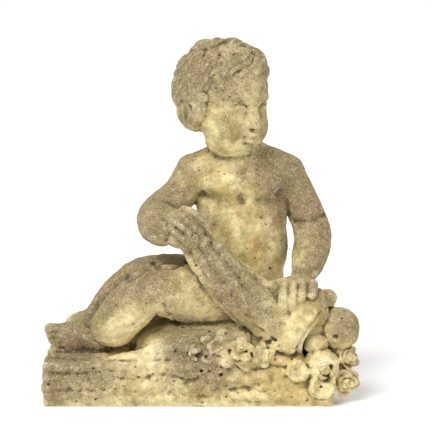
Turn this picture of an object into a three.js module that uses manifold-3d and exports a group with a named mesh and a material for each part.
// A garden putto in one piece of weathered stone. The child sits on a low oblong plinth with both legs
// swept to one side, and holds a horn of plenty across the lap. Fruit and roses spill from its mouth.
// Millimetres, +Z up, the child faces -Y. The origin is the centre of the plinth's underside.
//
// The forms are pressed together on a sculpting grid of distances, as a modeller adds clay. The surface
// is then drawn through the grid, thinned to large facets, and sawn flat underneath.

import * as THREE from "three";
import { mergeVertices } from "three/addons/utils/BufferGeometryUtils.js";
import Module from "manifold-3d";

// Driving dimensions, in millimetres
const statueHeight = 560;
const plinthLength = 444;
const plinthDepth = 215;
const plinthHeight = 70;
const plinthEdgeRadius = 7;
const moundRise = 58;
const hornMouthRadius = 50;
const hornRimRadius = 11;
const hornFlutes = 8;
const hornTwist = 2;
const fluteDepth = 5;
const fruitRadius = 33;

// The child is set out in a frame of its own, 490 high above the plinth's top, then brought to size.
const share = (statueHeight - plinthHeight) / 490;
const figureBack = 12;

const size = (millimetres) => millimetres * share;
const at = (x, y, z) =>
  new THREE.Vector3(size(x), size(y) + figureBack, size(z) + plinthHeight);

// How finely the surface is drawn, and how many facets are kept
const gridStep = size(3.6);
const gapRounds = 4;
const facetBudget = 9700;
const sawDepth = 6;

// Shapes. Each has a box that holds it and a distance, negative inside.

const FAR = 40;

function boxAround(points, reach) {
  return new THREE.Box3().setFromPoints(points).expandByScalar(reach);
}

function ball(centre, radius) {
  const { x: cx, y: cy, z: cz } = centre;
  const distance = (x, y, z) =>
    Math.sqrt((x - cx) ** 2 + (y - cy) ** 2 + (z - cz) ** 2) - radius;
  return { box: boxAround([centre], radius), distance };
}

function egg(centre, rx, ry, rz) {
  const { x: cx, y: cy, z: cz } = centre;
  const distance = (x, y, z) => {
    const [u, v, w] = [(x - cx) / rx, (y - cy) / ry, (z - cz) / rz];
    const near = Math.sqrt(u * u + v * v + w * w);
    const slope = Math.sqrt((u / rx) ** 2 + (v / ry) ** 2 + (w / rz) ** 2);
    return slope < 1e-9 ? -Math.min(rx, ry, rz) : (near * (near - 1)) / slope;
  };
  return { box: boxAround([centre], Math.max(rx, ry, rz)), distance };
}

// A tapering limb through a row of points, each with its own radius.
function limb(points, radii) {
  const bones = points.slice(1).map((b, i) => {
    const a = points[i];
    return { a, d: b.clone().sub(a), ra: radii[i], rb: radii[i + 1] };
  });
  const distance = (x, y, z) => {
    let nearest = Infinity;
    for (const { a, d, ra, rb } of bones) {
      const [px, py, pz] = [x - a.x, y - a.y, z - a.z];
      const along = (px * d.x + py * d.y + pz * d.z) / d.lengthSq();
      const t = Math.min(1, Math.max(0, along));
      const gap = Math.sqrt((px - t * d.x) ** 2 + (py - t * d.y) ** 2 + (pz - t * d.z) ** 2);
      nearest = Math.min(nearest, gap - ra - t * (rb - ra));
    }
    return nearest;
  };
  return { box: boxAround(points, Math.max(...radii)), distance, bones };
}

// A limb that follows a smooth curve through its points.
function bentLimb(points, radii, steps) {
  const curve = new THREE.CatmullRomCurve3(points);
  const widths = new THREE.SplineCurve(radii.map((r, i) => new THREE.Vector2(i, r)));
  const shares = Array.from({ length: steps + 1 }, (_, i) => i / steps);
  return limb(
    shares.map((t) => curve.getPoint(t)),
    shares.map((t) => widths.getPoint(t).y),
  );
}

// A limb carved lengthwise with flutes that turn as they go.
function fluted(plain, count, twist, depth) {
  const front = new THREE.Vector3(0, -1, 0);
  const frames = plain.bones.map(({ a, d }, i) => {
    const along = d.clone().normalize();
    const side = front.clone().addScaledVector(along, -front.dot(along)).normalize();
    return { a, d, side, other: along.cross(side), from: i / plain.bones.length };
  });
  const distance = (x, y, z) => {
    const whole = plain.distance(x, y, z);
    if (whole > 3 * depth || whole < -4 * depth) return whole;
    const p = new THREE.Vector3(x, y, z);
    let best = { gap: Infinity };
    for (const { a, d, side, other, from } of frames) {
      const v = p.clone().sub(a);
      const t = THREE.MathUtils.clamp(v.dot(d) / d.lengthSq(), 0, 1);
      v.addScaledVector(d, -t);
      if (v.length() < best.gap) {
        const angle = Math.atan2(v.dot(side), v.dot(other));
        best = { gap: v.length(), angle, t: from + t / frames.length };
      }
    }
    return whole + depth * (0.5 - 0.5 * Math.cos(count * best.angle + 2 * Math.PI * twist * best.t));
  };
  return { box: plain.box, distance };
}

function ring(centre, normal, radius, thickness) {
  const distance = (x, y, z) => {
    const p = new THREE.Vector3(x, y, z).sub(centre);
    const lift = p.dot(normal);
    const flat = Math.sqrt(Math.max(0, p.lengthSq() - lift * lift)) - radius;
    return Math.sqrt(flat * flat + lift * lift) - thickness;
  };
  return { box: boxAround([centre], radius + thickness), distance };
}

function block(centre, half, edge) {
  const distance = (x, y, z) => {
    const qx = Math.abs(x - centre.x) - half.x + edge;
    const qy = Math.abs(y - centre.y) - half.y + edge;
    const qz = Math.abs(z - centre.z) - half.z + edge;
    const out = Math.sqrt(Math.max(qx, 0) ** 2 + Math.max(qy, 0) ** 2 + Math.max(qz, 0) ** 2);
    return out + Math.min(Math.max(qx, qy, qz), 0) - edge;
  };
  const corners = [centre.clone().sub(half), centre.clone().add(half)];
  return { box: boxAround(corners, 0), distance };
}

// The same shape in a frame that is turned and moved.
function placed(shape, frame) {
  const inverse = frame.clone().invert();
  const p = new THREE.Vector3();
  const distance = (x, y, z) => {
    p.set(x, y, z).applyMatrix4(inverse);
    return shape.distance(p.x, p.y, p.z);
  };
  return { box: shape.box.clone().applyMatrix4(frame), distance };
}

function smoothMin(a, b, blend) {
  const overlap = Math.max(blend - Math.abs(a - b), 0);
  return Math.min(a, b) - (blend > 0 ? (overlap * overlap) / (4 * blend) : 0);
}

// A lump of clay: shapes added or cut away in turn, each with the width of its blend.
class Lump {
  steps = [];
  box = new THREE.Box3();

  add(shape, blend = 0) {
    this.steps.push({ ...shape, blend, cut: false });
    this.box.union(shape.box.clone().expandByScalar(blend / 2));
    return this;
  }

  cut(shape, blend = 0) {
    this.steps.push({ ...shape, blend, cut: true });
    return this;
  }

  distance = (x, y, z) => {
    let found = FAR;
    for (const step of this.steps) {
      const { min, max } = step.box;
      const clear = Math.max(
        min.x - x, x - max.x, min.y - y, y - max.y, min.z - z, z - max.z);
      if (clear > step.blend + 3 * gridStep) continue;
      const d = step.distance(x, y, z);
      found = step.cut ? -smoothMin(-found, d, step.blend) : smoothMin(found, d, step.blend);
    }
    return found;
  };
}

const both = [-1, 1];

// The plinth and the ground on it

const plinthWear = 1.6;
const groundWear = 3;

// Waves of two lengths, which stand for weathering.
function worn(x, y, z, reach) {
  const long = Math.sin(x / 31 + 1.3) * Math.sin(y / 27 + z / 38) + Math.sin(z / 17 + x / 54 + 0.6);
  const short = Math.sin(x / 11.5 + y / 13) * Math.sin(z / 9.5 + x / 21 + 2.1);
  return reach * (0.5 * long + 0.35 * short);
}

function plinth() {
  const half = new THREE.Vector3(plinthLength / 2, plinthDepth / 2, (plinthHeight + sawDepth) / 2);
  const centre = new THREE.Vector3(0, 0, (plinthHeight - sawDepth) / 2);
  const slab = block(centre, half, plinthEdgeRadius);
  const rough = {
    box: slab.box.clone().expandByScalar(plinthWear),
    distance: (x, y, z) => slab.distance(x, y, z) + 0.4 * plinthWear + worn(x, y, z, plinthWear),
  };
  const ground = (x, y, length, depth, rise) => {
    const heap = egg(at(x, y, 0), size(length), size(depth), size(rise));
    const distance = (px, py, pz) => heap.distance(px, py, pz) + worn(px, py, pz, groundWear);
    return { box: heap.box, distance };
  };
  return new Lump()
    .add(rough)
    .add(ground(46, -28, 132, 84, moundRise), 12)
    .add(ground(116, -30, 104, 86, moundRise * 0.72), 14)
    .add(ground(40, -82, 92, 36, moundRise * 0.66), 16)
    .add(ground(128, -84, 70, 34, moundRise * 0.4), 12)
    .add(ground(20, 40, 110, 52, moundRise * 1.1), 16)
    .add(ground(-62, 24, 66, 50, moundRise * 0.9), 16);
}

// The trunk

const rightShoulder = at(10, 12, 279);
const leftShoulder = at(154, 14, 278);

function trunk() {
  const lump = new Lump()
    .add(egg(at(83, 12, 70), size(76), size(60), size(70)))
    .add(egg(at(83, 4, 166), size(74), size(54), size(88)), size(26))
    .add(egg(at(84, 12, 252), size(71), size(47), size(58)), size(26));
  for (const side of both) {
    const shoulder = side < 0 ? rightShoulder : leftShoulder;
    const buttock = at(82 + side * 33, 44, 52);
    const breast = at(83 + side * 32, -20, 262);
    lump
      .add(limb([at(80 + side * 19, 16, 309), shoulder], [size(22), size(29)]), size(20))
      .add(limb([at(84 + side * 55, 12, 262), at(84 + side * 56, 6, 205)], [size(19), size(13)]), size(12))
      .add(ball(buttock, size(44)), size(10))
      .add(egg(breast, size(30), size(19), size(22)), size(12));
  }
  lump.add(limb([at(78, 14, 290), at(68, 8, 345)], [size(36), size(33)]), size(16));
  lump.cut(limb([at(83, -50, 240), at(83, -46, 290)], [size(4), size(4)]), size(12));
  lump.cut(limb([at(81, 70, 130), at(81, 72, 270)], [size(7), size(7)]), size(16));
  lump.cut(ball(at(84, -56, 150), size(5)), size(6));
  return lump;
}

// The head, in a frame of its own, turned to the child's left and bowed

const headTurn = THREE.MathUtils.degToRad(42);
const headBow = THREE.MathUtils.degToRad(9);
const headSize = 1.03 * share;

function headFrame() {
  const centre = at(58, 0, 400);
  return new THREE.Matrix4()
    .makeTranslation(centre.x, centre.y, centre.z)
    .multiply(new THREE.Matrix4().makeRotationZ(headTurn))
    .multiply(new THREE.Matrix4().makeRotationX(headBow))
    .multiply(new THREE.Matrix4().makeScale(headSize, headSize, headSize));
}

const local = (x, y, z) => new THREE.Vector3(x, y, z);

function face() {
  const lump = new Lump()
    .add(egg(local(0, 6, 12), 64, 72, 62))
    .add(egg(local(0, -22, -36), 53, 46, 44), 22)
    .add(egg(local(0, -22, -72), 38, 34, 18), 14)
    .add(ball(local(0, -52, -68), 13), 12);
  for (const side of both) {
    lump
      .add(ball(local(side * 26, -38, -44), 24), 12)
      .cut(ball(local(side * 22, -79, -12), 16), 10)
      .add(egg(local(side * 21, -53, -14), 12, 9, 8), 3);
  }
  lump
    .add(limb([local(0, -61, -8), local(0, -72, -32)], [5, 7]), 7)
    .add(limb([local(-8, -66, -34), local(8, -66, -34)], [4.5, 4.5]), 4)
    .add(limb([local(-8, -62, -50), local(8, -62, -50)], [5, 5]), 4)
    .add(limb([local(-6, -61, -58), local(6, -61, -58)], [5, 5]), 3)
    .cut(limb([local(-13, -66, -54), local(13, -66, -54)], [1.6, 1.6]), 3);
  for (const side of both) {
    lump
      .add(egg(local(side * 58, 4, -18), 9, 12, 17), 5)
      .cut(ball(local(side * 68, 0, -17), 6), 3);
  }
  return lump;
}

// A point on the scalp, by its turn from the brow and its angle down from the crown.
const scalp = { x: 64, y: 70, z: 63.5, nape: 81 };
const crownTilt = THREE.MathUtils.degToRad(16);

function onScalp(turn, down, lift) {
  const p = new THREE.Vector3(
    Math.sin(down) * Math.sin(turn), -Math.sin(down) * Math.cos(turn), Math.cos(down));
  p.applyAxisAngle(new THREE.Vector3(1, 0, 0), -crownTilt);
  const drop = p.z < 0 ? scalp.nape : scalp.z;
  return local(p.x * (scalp.x + lift), 8 + p.y * (scalp.y + lift), 12 + p.z * (drop + lift));
}

function lock(turn, from, to, sway, radius) {
  const shares = [0, 0.34, 0.67, 1];
  const points = shares.map((t) => {
    const bend = sway * Math.sin(Math.PI * 1.6 * t);
    return onScalp(turn + bend, from + (to - from) * t, 1.5 * Math.sin(Math.PI * t));
  });
  return bentLimb(points, [0.75 * radius, radius, radius, 0.8 * radius], 6);
}

function hair() {
  const rad = THREE.MathUtils.degToRad;
  const lump = new Lump()
    .add(egg(local(0, 11, 15), 64, 70, 61))
    .add(egg(local(0, 22, -22), 55, 50, 48), 12);
  const rows = [
    { count: 7, from: 4, to: 44, sway: 0.55, radius: 11 },
    { count: 11, from: 40, to: 76, sway: 0.3, radius: 11 },
  ];
  for (const [r, row] of rows.entries()) {
    for (let i = 0; i < row.count; i++) {
      const turn = ((i + 0.5 * r) / row.count) * 2 * Math.PI;
      const way = i % 2 ? 1 : 0.6;
      lump.add(lock(turn, rad(row.from), rad(row.to), row.sway * way, row.radius), 3);
    }
  }
  const napes = [
    { count: 10, from: 72, to: 108, first: 82, last: 278 },
    { count: 8, from: 104, to: 134, first: 92, last: 268 },
  ];
  for (const { count, from, to, first, last } of napes)
    for (let i = 0; i < count; i++) {
      const turn = rad(first + ((last - first) * i) / (count - 1));
      lump.add(lock(turn, rad(from), rad(to), i % 2 ? 0.22 : -0.22, 11.5), 3);
    }
  return lump;
}

// The arms and hands

function rightArm() {
  const radii = [31, 28, 32, 33, 21].map(size);
  const points = [
    rightShoulder, at(-13, 7, 246), at(-48, -10, 210), at(-41, -44, 199), at(-9, -82, 206)];
  const lump = new Lump().add(bentLimb(points, radii, 12)).add(ball(at(-8, -88, 211), size(20)), size(8));
  lump.add(ball(at(-16, -84, 189), size(20)), size(8));
  for (const [i, forward] of [0, 6, 8, 5].entries()) {
    const [x, y, z] = [-8.4 * i, -97 - forward, -9.2 * i];
    const knuckle = at(x, y + 2, z + 230);
    const joint = at(x + 14, y - 5, z + 220);
    const tip = at(x + 25, y, z + 207);
    lump.add(limb([knuckle, joint, tip], [8, 7.5, 6.5].map(size)), size(3));
  }
  return lump.add(limb([at(-6, -76, 214), at(12, -60, 204)], [10, 8].map(size)), size(5));
}

function leftArm() {
  const radii = [29, 28, 30, 28, 20].map(size);
  const points = [
    leftShoulder, at(179, 18, 230), at(197, 14, 178), at(190, -20, 147), at(179, -54, 124)];
  const lump = new Lump()
    .add(bentLimb(points, radii, 12))
    .add(egg(at(167, -80, 112), size(25), size(24), size(14)), size(10));
  for (const [i, x] of [145, 159, 173, 187].entries()) {
    const drop = [24, 26, 15, 8][i];
    const knuckle = at(x + 3, -98, 112 + i);
    const tip = at(x, -116, 108 - drop);
    const joint = at(x + 1, -112, 104 - drop / 3);
    lump.add(limb([knuckle, joint, tip], [8, 7.5, 6].map(size)), size(3));
  }
  return lump.add(limb([at(156, -82, 116), at(130, -90, 112)], [9, 7].map(size)), size(4));
}

// The legs, the near one in front

function foot(heel, sole, toes) {
  const under = [heel, sole].map((p) => p.clone().setZ((p.z + plinthHeight) / 2));
  const lump = new Lump()
    .add(limb(under, [size(17), size(15)]))
    .add(limb([heel, sole], [size(22), size(19)]), size(3))
    .add(egg(sole, size(31), size(17), size(24)), size(10));
  for (const [i, drop] of [0, 12, 20.5, 27.5, 33].entries()) {
    const radius = size([9, 7, 6.5, 6, 5.5][i]);
    const root = toes.clone().add(new THREE.Vector3(size(18), 0, -size(drop * 0.9)));
    const tip = toes.clone().add(new THREE.Vector3(size(1.2 * i), 0, -size(drop)));
    lump.add(limb([root, tip], [radius, radius]), size(3));
  }
  return lump;
}

function nearLeg() {
  const points = [
    at(64, -24, 82), at(-6, -46, 93), at(-60, -60, 98), at(-94, -60, 68), at(-124, -56, 36)];
  return new Lump().add(bentLimb(points, [52, 47, 38, 38, 31].map(size), 14));
}

function farLeg() {
  const points = [
    at(60, 18, 84), at(-12, 22, 99.5), at(-72, 14, 104.5), at(-112, 12, 75), at(-140, 8, 47)];
  return new Lump().add(bentLimb(points, [52, 46, 37, 35, 27].map(size), 14));
}

// The horn of plenty, its fruit and its roses

const hornMouth = at(180, -82, 46);
const hornAim = new THREE.Vector3(0.8, -0.34, -0.49).normalize();

function horn() {
  const points = [
    at(3, -86, 208), at(13, -84, 176), at(44, -84, 139),
    at(84, -84, 96), at(116, -84, 74), at(146, -84, 58),
  ];
  points.push(hornMouth.clone().addScaledVector(hornAim, -8));
  const radii = [0.32, 0.52, 0.66, 0.77, 0.83, 0.88, 0.96].map((r) => r * hornMouthRadius);
  const bell = hornMouth.clone().addScaledVector(hornAim, 20);
  const throat = hornMouth.clone().addScaledVector(hornAim, -6);
  const collar = hornMouth.clone().addScaledVector(hornAim, -34);
  return new Lump()
    .add(fluted(bentLimb(points, radii, 18), hornFlutes, hornTwist, fluteDepth))
    .add(ring(collar, hornAim, 0.84 * hornMouthRadius, size(5)), 4)
    .add(limb([at(34, -62, 150), at(84, -60, 96), at(150, -62, 52)], [22, 30, 38].map(size)), size(6))
    .cut(ball(bell, hornMouthRadius - 6), 2)
    .add(ring(hornMouth, hornAim, hornMouthRadius, hornRimRadius), 5)
    .cut(limb([throat, bell], [hornMouthRadius - 24, hornMouthRadius - hornRimRadius - 4]), 3);
}

function fruit() {
  return new Lump()
    .add(ball(at(231, -82, 44), fruitRadius))
    .cut(ball(at(224, -118, 36), size(5)), size(4))
    .add(ball(at(201, -86, 92), size(13)))
    .add(ball(at(211, -76, 85), size(15)))
    .add(ball(at(226, -70, 12), size(26)))
    .add(ball(at(197, -92, 66), size(20)))
    .add(ball(at(200, -68, 30), size(32)))
    .add(ball(at(190, -78, 46), size(31)))
    .add(ball(at(196, -100, 24), size(18)));
}

// A rose facing along an aim: thick petals in turns about a bud, the inner ones upright.
function rose(centre, aim, radius) {
  const lump = new Lump().add(ball(local(0, 0, -0.12 * radius), 0.78 * radius));
  const turns = [
    { petals: 5, away: 0.7, lift: 0.1, lean: 72, turn: 0 },
    { petals: 4, away: 0.42, lift: 0.5, lean: 42, turn: 0.6 },
  ];
  for (const { petals, away, lift, lean, turn } of turns)
    for (let i = 0; i < petals; i++) {
      const round = new THREE.Matrix4().makeRotationZ(turn + (2 * Math.PI * i) / petals);
      const bent = new THREE.Matrix4().makeRotationY(THREE.MathUtils.degToRad(90 - lean));
      const frame = round.multiply(
        new THREE.Matrix4().makeTranslation(away * radius, 0, lift * radius).multiply(bent));
      const petal = egg(local(0, 0, 0), 0.2 * radius, 0.5 * radius, 0.46 * radius);
      lump.add(placed(petal, frame));
    }
  lump.add(ball(local(0, 0, 0.62 * radius), 0.24 * radius));
  const turned = new THREE.Quaternion().setFromUnitVectors(local(0, 0, 1), aim.clone().normalize());
  const frame = new THREE.Matrix4().compose(centre, turned, local(1, 1, 1));
  return placed(lump, frame);
}

function roses() {
  const lump = new Lump().add(
    limb([at(176, -92, -22), at(216, -84, -26), at(236, -74, -14)], [20, 22, 18].map(size)));
  const blooms = [
    [at(206, -108, -13), local(-0.1, -1, 0.25), 27],
    [at(168, -114, -20), local(-0.5, -1, 0.1), 16],
    [at(209, -102, -46), local(0, -1, -0.35), 20],
    [at(243, -90, -38), local(0.5, -1, -0.1), 23],
    [at(244, -86, -5), local(0.7, -0.8, 0.3), 19],
  ];
  for (const [centre, aim, radius] of blooms) lump.add(rose(centre, aim, size(radius)), size(2));
  return lump;
}

// A blossom with its leaves, fallen on the ground's front: round petals, with drilled pits between them
function blossom(x, y, z, radius, petals) {
  const lump = new Lump().add(ball(at(x, y, z), size(0.5 * radius)));
  const around = (turn, reach) => {
    const angle = (turn * 2 * Math.PI) / petals;
    const rise = reach * radius * Math.cos(angle);
    return at(x + reach * radius * Math.sin(angle), y - 2 + 0.35 * rise, z + rise);
  };
  for (let i = 0; i < petals; i++) lump.add(ball(around(i, 0.68), size(0.42 * radius)), size(2));
  const front = lump.box.min.y;
  for (let i = 0; i < petals; i++) lump.cut(ball(around(i + 0.5, 0.5).setY(front), size(4)), size(2));
  return lump;
}

// The sculpting grid

class Clay {
  constructor(box, step) {
    this.step = step;
    this.low = box.min.clone();
    const span = box.max.clone().sub(box.min).divideScalar(step);
    this.count = [span.x, span.y, span.z].map((s) => Math.ceil(s) + 1);
    this.stride = [1, this.count[0], this.count[0] * this.count[1]];
    this.field = new Float32Array(this.stride[2] * this.count[2]).fill(FAR);
  }

  press(lump, blend) {
    const reach = blend + 2 * this.step;
    const ends = ["x", "y", "z"].map((axis, i) => {
      const from = (lump.box.min[axis] - reach - this.low[axis]) / this.step;
      const to = (lump.box.max[axis] + reach - this.low[axis]) / this.step;
      return [Math.max(0, Math.floor(from)), Math.min(this.count[i] - 1, Math.ceil(to))];
    });
    for (let k = ends[2][0]; k <= ends[2][1]; k++)
      for (let j = ends[1][0]; j <= ends[1][1]; j++)
        for (let i = ends[0][0]; i <= ends[0][1]; i++) {
          const cell = i + j * this.stride[1] + k * this.stride[2];
          const x = this.low.x + i * this.step;
          const y = this.low.y + j * this.step;
          const z = this.low.z + k * this.step;
          this.field[cell] = smoothMin(this.field[cell], lump.distance(x, y, z), blend);
        }
  }

  // Fills the gaps that are one cell wide and walled on four sides, where no chisel would reach.
  fillGaps(rounds) {
    const { stride, field, step } = this;
    for (let round = 0; round < rounds; round++) {
      const narrow = [];
      for (let cell = stride[2]; cell < field.length - stride[2]; cell++) {
        if (field[cell] < 0 || field[cell] > step) continue;
        const walled = stride.filter((s) => field[cell - s] < 0 && field[cell + s] < 0);
        if (walled.length > 1) narrow.push(cell);
      }
      for (const cell of narrow) field[cell] = -0.2 * step;
    }
  }
}

// Each cube is six tetrahedra round its long diagonal, so the surface can have no hole.
const corner = (bits) => [bits & 1, (bits >> 1) & 1, (bits >> 2) & 1];
const digits = (word) => Array.from(word, Number);
const tetrahedra = ["0137", "0327", "0267", "0647", "0457", "0517"].map(digits);
const evenTurns = ["0123", "1032", "2301", "3210"].map(digits);
const pairings = ["0123", "0231", "0312", "2301", "1320", "1203"].map(digits);

// The triangles through a tetrahedron, for each set of its corners that is inside.
function trianglesOf(inside) {
  const within = [0, 1, 2, 3].filter((v) => inside & (1 << v));
  if (within.length === 2) {
    const [a, b, c, d] = pairings.find((p) => within.includes(p[0]) && within.includes(p[1]));
    return [[[a, c], [a, d], [b, d]], [[a, c], [b, d], [b, c]]];
  }
  if (within.length !== 1 && within.length !== 3) return [];
  const alone = within.length === 1 ? within[0] : [0, 1, 2, 3].find((v) => !within.includes(v));
  const [a, b, c, d] = evenTurns[alone];
  const triangle = [[a, b], [a, c], [a, d]];
  return [within.length === 1 ? triangle : triangle.reverse()];
}

function surfaceOf(clay) {
  const cases = Array.from({ length: 16 }, (_, inside) => trianglesOf(inside));
  const { count, stride, field, low, step } = clay;
  const offset = Array.from({ length: 8 }, (_, bits) =>
    corner(bits).reduce((sum, on, axis) => sum + on * stride[axis], 0));
  const positions = [];
  const faces = [];
  const made = new Map();
  const vertex = (cell, from, to) => {
    const [a, b] = from < to ? [from, to] : [to, from];
    const key = (cell + offset[a]) * 8 + (b - a);
    if (!made.has(key)) {
      made.set(key, positions.length / 3);
      const [fa, fb] = [field[cell + offset[a]], field[cell + offset[b]]];
      const t = Math.min(0.98, Math.max(0.02, fa / (fa - fb)));
      const column = Math.floor((cell % stride[2]) / stride[1]);
      const first = [cell % stride[1], column, Math.floor(cell / stride[2])];
      const [ca, cb] = [corner(a), corner(b)];
      const grid = first.map((g, axis) => g + ca[axis] + t * (cb[axis] - ca[axis]));
      positions.push(low.x + grid[0] * step, low.y + grid[1] * step, low.z + grid[2] * step);
    }
    return made.get(key);
  };
  for (let k = 0; k < count[2] - 1; k++)
    for (let j = 0; j < count[1] - 1; j++)
      for (let i = 0; i < count[0] - 1; i++) {
        const cell = i + j * stride[1] + k * stride[2];
        let inside = 0;
        for (let bits = 0; bits < 8; bits++) if (field[cell + offset[bits]] < 0) inside |= 1 << bits;
        if (inside === 0 || inside === 255) continue;
        for (const tetrahedron of tetrahedra) {
          const mask = tetrahedron.reduce((m, bits, v) => m | (((inside >> bits) & 1) << v), 0);
          for (const triangle of cases[mask])
            faces.push(triangle.map(([a, b]) => vertex(cell, tetrahedron[a], tetrahedron[b])));
        }
      }
  return { positions, faces };
}

// Thinning: the edge whose loss changes the surface least is closed up, again and again.

class Heap {
  items = [];

  push(item) {
    const { items } = this;
    let place = items.length;
    while (place > 0) {
      const up = (place - 1) >> 1;
      if (items[up].cost <= item.cost) break;
      items[place] = items[up];
      place = up;
    }
    items[place] = item;
  }

  pop() {
    const { items } = this;
    const top = items[0];
    const last = items.pop();
    if (items.length === 0) return top;
    let place = 0;
    for (let child = 1; child < items.length; child = 2 * place + 1) {
      if (child + 1 < items.length && items[child + 1].cost < items[child].cost) child++;
      if (items[child].cost >= last.cost) break;
      items[place] = items[child];
      place = child;
    }
    items[place] = last;
    return top;
  }
}

function normalOf(a, b, c) {
  return b.clone().sub(a).cross(c.clone().sub(a));
}

// The error of a point against a set of planes, as the ten terms of a quadric.
function planeTerms(normal, point, weight) {
  const { x, y, z } = normal;
  const d = -normal.dot(point);
  return [x * x, x * y, x * z, x * d, y * y, y * z, y * d, z * z, z * d, d * d].map((t) => t * weight);
}

function errorAt(q, { x, y, z }) {
  return (
    q[0] * x * x + 2 * q[1] * x * y + 2 * q[2] * x * z + 2 * q[3] * x +
    q[4] * y * y + 2 * q[5] * y * z + 2 * q[6] * y + q[7] * z * z + 2 * q[8] * z + q[9]
  );
}

function bestPoint(q, a, b) {
  const m = new THREE.Matrix3().set(q[0], q[1], q[2], q[1], q[4], q[5], q[2], q[5], q[7]);
  const middle = a.clone().add(b).multiplyScalar(0.5);
  const scale = (q[0] + q[4] + q[7]) ** 3;
  if (Math.abs(m.determinant()) > 1e-3 * scale) {
    const point = new THREE.Vector3(-q[3], -q[6], -q[8]).applyMatrix3(m.invert());
    if (point.distanceTo(middle) < a.distanceTo(b)) return point;
  }
  return [middle, a.clone(), b.clone()].sort((p, r) => errorAt(q, p) - errorAt(q, r))[0];
}

function thinned({ positions, faces }, budget) {
  const points = [];
  for (let i = 0; i < positions.length; i += 3)
    points.push(new THREE.Vector3(positions[i], positions[i + 1], positions[i + 2]));
  const around = points.map(() => new Set());
  const quadrics = points.map(() => new Array(10).fill(0));
  faces.forEach((face, f) => {
    const normal = normalOf(...face.map((v) => points[v]));
    const area = normal.length();
    const terms = area > 1e-9 ? planeTerms(normal.divideScalar(area), points[face[0]], area) : null;
    for (const v of face) {
      around[v].add(f);
      if (terms) terms.forEach((t, i) => (quadrics[v][i] += t));
    }
  });
  const version = new Uint32Array(points.length);
  const neighbours = (v) => {
    const found = new Set();
    for (const f of around[v]) for (const w of faces[f]) if (w !== v) found.add(w);
    return found;
  };
  const heap = new Heap();
  const offer = (a, b) => {
    const q = quadrics[a].map((t, i) => t + quadrics[b][i]);
    const point = bestPoint(q, points[a], points[b]);
    const cost = errorAt(q, point) + 0.02 * points[a].distanceToSquared(points[b]);
    heap.push({ cost, a, b, point, q, stamp: version[a] + version[b] });
  };
  points.forEach((_, v) => neighbours(v).forEach((w) => w > v && offer(v, w)));

  // Closing an edge must leave a closed skin with no face turned over.
  const mayClose = ({ a, b, point }) => {
    const beside = neighbours(b);
    let shared = 0;
    for (const v of neighbours(a)) if (beside.has(v)) shared++;
    if (shared !== 2) return false;
    for (const [kept, other] of [[a, b], [b, a]])
      for (const f of around[kept]) {
        if (faces[f].includes(other)) continue;
        const old = normalOf(...faces[f].map((v) => points[v]));
        const now = normalOf(...faces[f].map((v) => (v === kept ? point : points[v])));
        if (now.dot(old) < 0.25 * now.length() * old.length() || now.length() < 1e-3) return false;
      }
    return true;
  };
  let left = faces.length;
  while (left > budget && heap.items.length) {
    const edge = heap.pop();
    const { a, b } = edge;
    if (!around[a].size || !around[b].size || edge.stamp !== version[a] + version[b]) continue;
    if (!mayClose(edge)) continue;
    for (const f of around[b]) {
      if (faces[f].includes(a)) {
        faces[f].forEach((v) => v !== b && around[v].delete(f));
        faces[f] = null;
        left--;
      } else {
        faces[f] = faces[f].map((v) => (v === b ? a : v));
        around[a].add(f);
      }
    }
    around[b].clear();
    points[a] = edge.point;
    quadrics[a] = edge.q;
    version[a] += 1 + version[b];
    neighbours(a).forEach((v) => offer(a, v));
  }
  return { points, faces: faces.filter(Boolean) };
}

function geometryOf({ points, faces }) {
  const corners = faces.flatMap((face) => face.flatMap((v) => points[v].toArray()));
  const geometry = new THREE.BufferGeometry();
  geometry.setAttribute("position", new THREE.Float32BufferAttribute(corners, 3));
  return mergeVertices(geometry, 1e-4);
}

// The saw cut that leaves the underside flat

const wasm = await Module();
wasm.setup();

function solidOf(geometry) {
  const bare = geometry.clone();
  bare.deleteAttribute("normal");
  bare.deleteAttribute("uv");
  const merged = mergeVertices(bare, 1e-4);
  return new wasm.Manifold(new wasm.Mesh({
    numProp: 3,
    vertProperties: new Float32Array(merged.attributes.position.array),
    triVerts: new Uint32Array(merged.index.array),
  }));
}

function sawn(geometry) {
  const waste = new THREE.BoxGeometry(4 * plinthLength, 4 * plinthDepth, 4 * sawDepth);
  waste.translate(0, 0, -2 * sawDepth);
  const { vertProperties, triVerts } = solidOf(geometry).subtract(solidOf(waste)).getMesh();
  const cut = new THREE.BufferGeometry();
  cut.setAttribute("position", new THREE.BufferAttribute(vertProperties, 3));
  cut.setIndex(new THREE.BufferAttribute(triVerts, 1));
  return cut;
}

function statueGeometry() {
  const parts = [
    [plinth(), 0],
    [trunk(), size(6)],
    [farLeg(), size(8)],
    [foot(at(-144, 8, 40), at(-166, 8, 32), at(-188, 8, 40)), size(4)],
    [nearLeg(), size(5)],
    [foot(at(-134, -56, 22), at(-186, -56, 22), at(-217, -58, 36)), size(4)],
    [placed(face(), headFrame()), size(6)],
    [placed(hair(), headFrame()), size(3)],
    [rightArm(), size(5)],
    [leftArm(), size(5)],
    [horn(), size(3)],
    [fruit(), size(1.5)],
    [roses(), size(3)],
    [blossom(42, -104, 20, 19, 5), size(4)],
    [blossom(86, -106, 18, 17, 5), size(4)],
    [blossom(112, -108, 10, 15, 4), size(4)],
  ];
  const hold = new THREE.Box3();
  parts.forEach(([lump]) => hold.union(lump.box));
  const clay = new Clay(hold.expandByScalar(3 * gridStep), gridStep);
  parts.forEach(([lump, blend]) => clay.press(lump, blend));
  clay.fillGaps(gapRounds);
  return sawn(geometryOf(thinned(surfaceOf(clay), facetBudget)));
}

const stone = new THREE.MeshStandardMaterial({ color: 0xb0a27c, roughness: 0.95, metalness: 0 });
const statue = new THREE.Mesh(statueGeometry(), stone);
statue.name = "putto_statue";

const part = new THREE.Group();
part.add(statue);

export default part;
